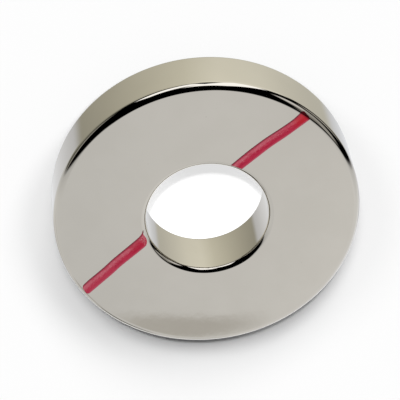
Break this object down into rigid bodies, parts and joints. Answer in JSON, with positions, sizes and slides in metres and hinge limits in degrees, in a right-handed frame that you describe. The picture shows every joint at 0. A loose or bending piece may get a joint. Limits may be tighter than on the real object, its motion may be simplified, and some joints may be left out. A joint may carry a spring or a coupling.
{
  "type": "ring magnet",
  "caption": "Flat sintered ring magnet with a plain central bore, rounded edges, bright nickel plating and a hand-drawn red ink line across its front face.",
  "frame": {"origin": "centre of the plain back face, on the bore axis; the magnet lies on this face", "axes": "+Z along the bore axis, out of the marked front face; Y along the ink line; +X towards the side of the centre that the ink line passes"},
  "size_m": [0.052, 0.052, 0.01],
  "materials": {
    "nickel_plate": "bright nickel plating, near mirror with a faint tumbled ripple",
    "red_ink": "felt-tip ink film, streaked along the stroke, darker at its edges"
  },
  "bodies": {
    "root": {"ring": "nickel_plate", "ink_line": "red_ink"}
  },
  "joints": []
}
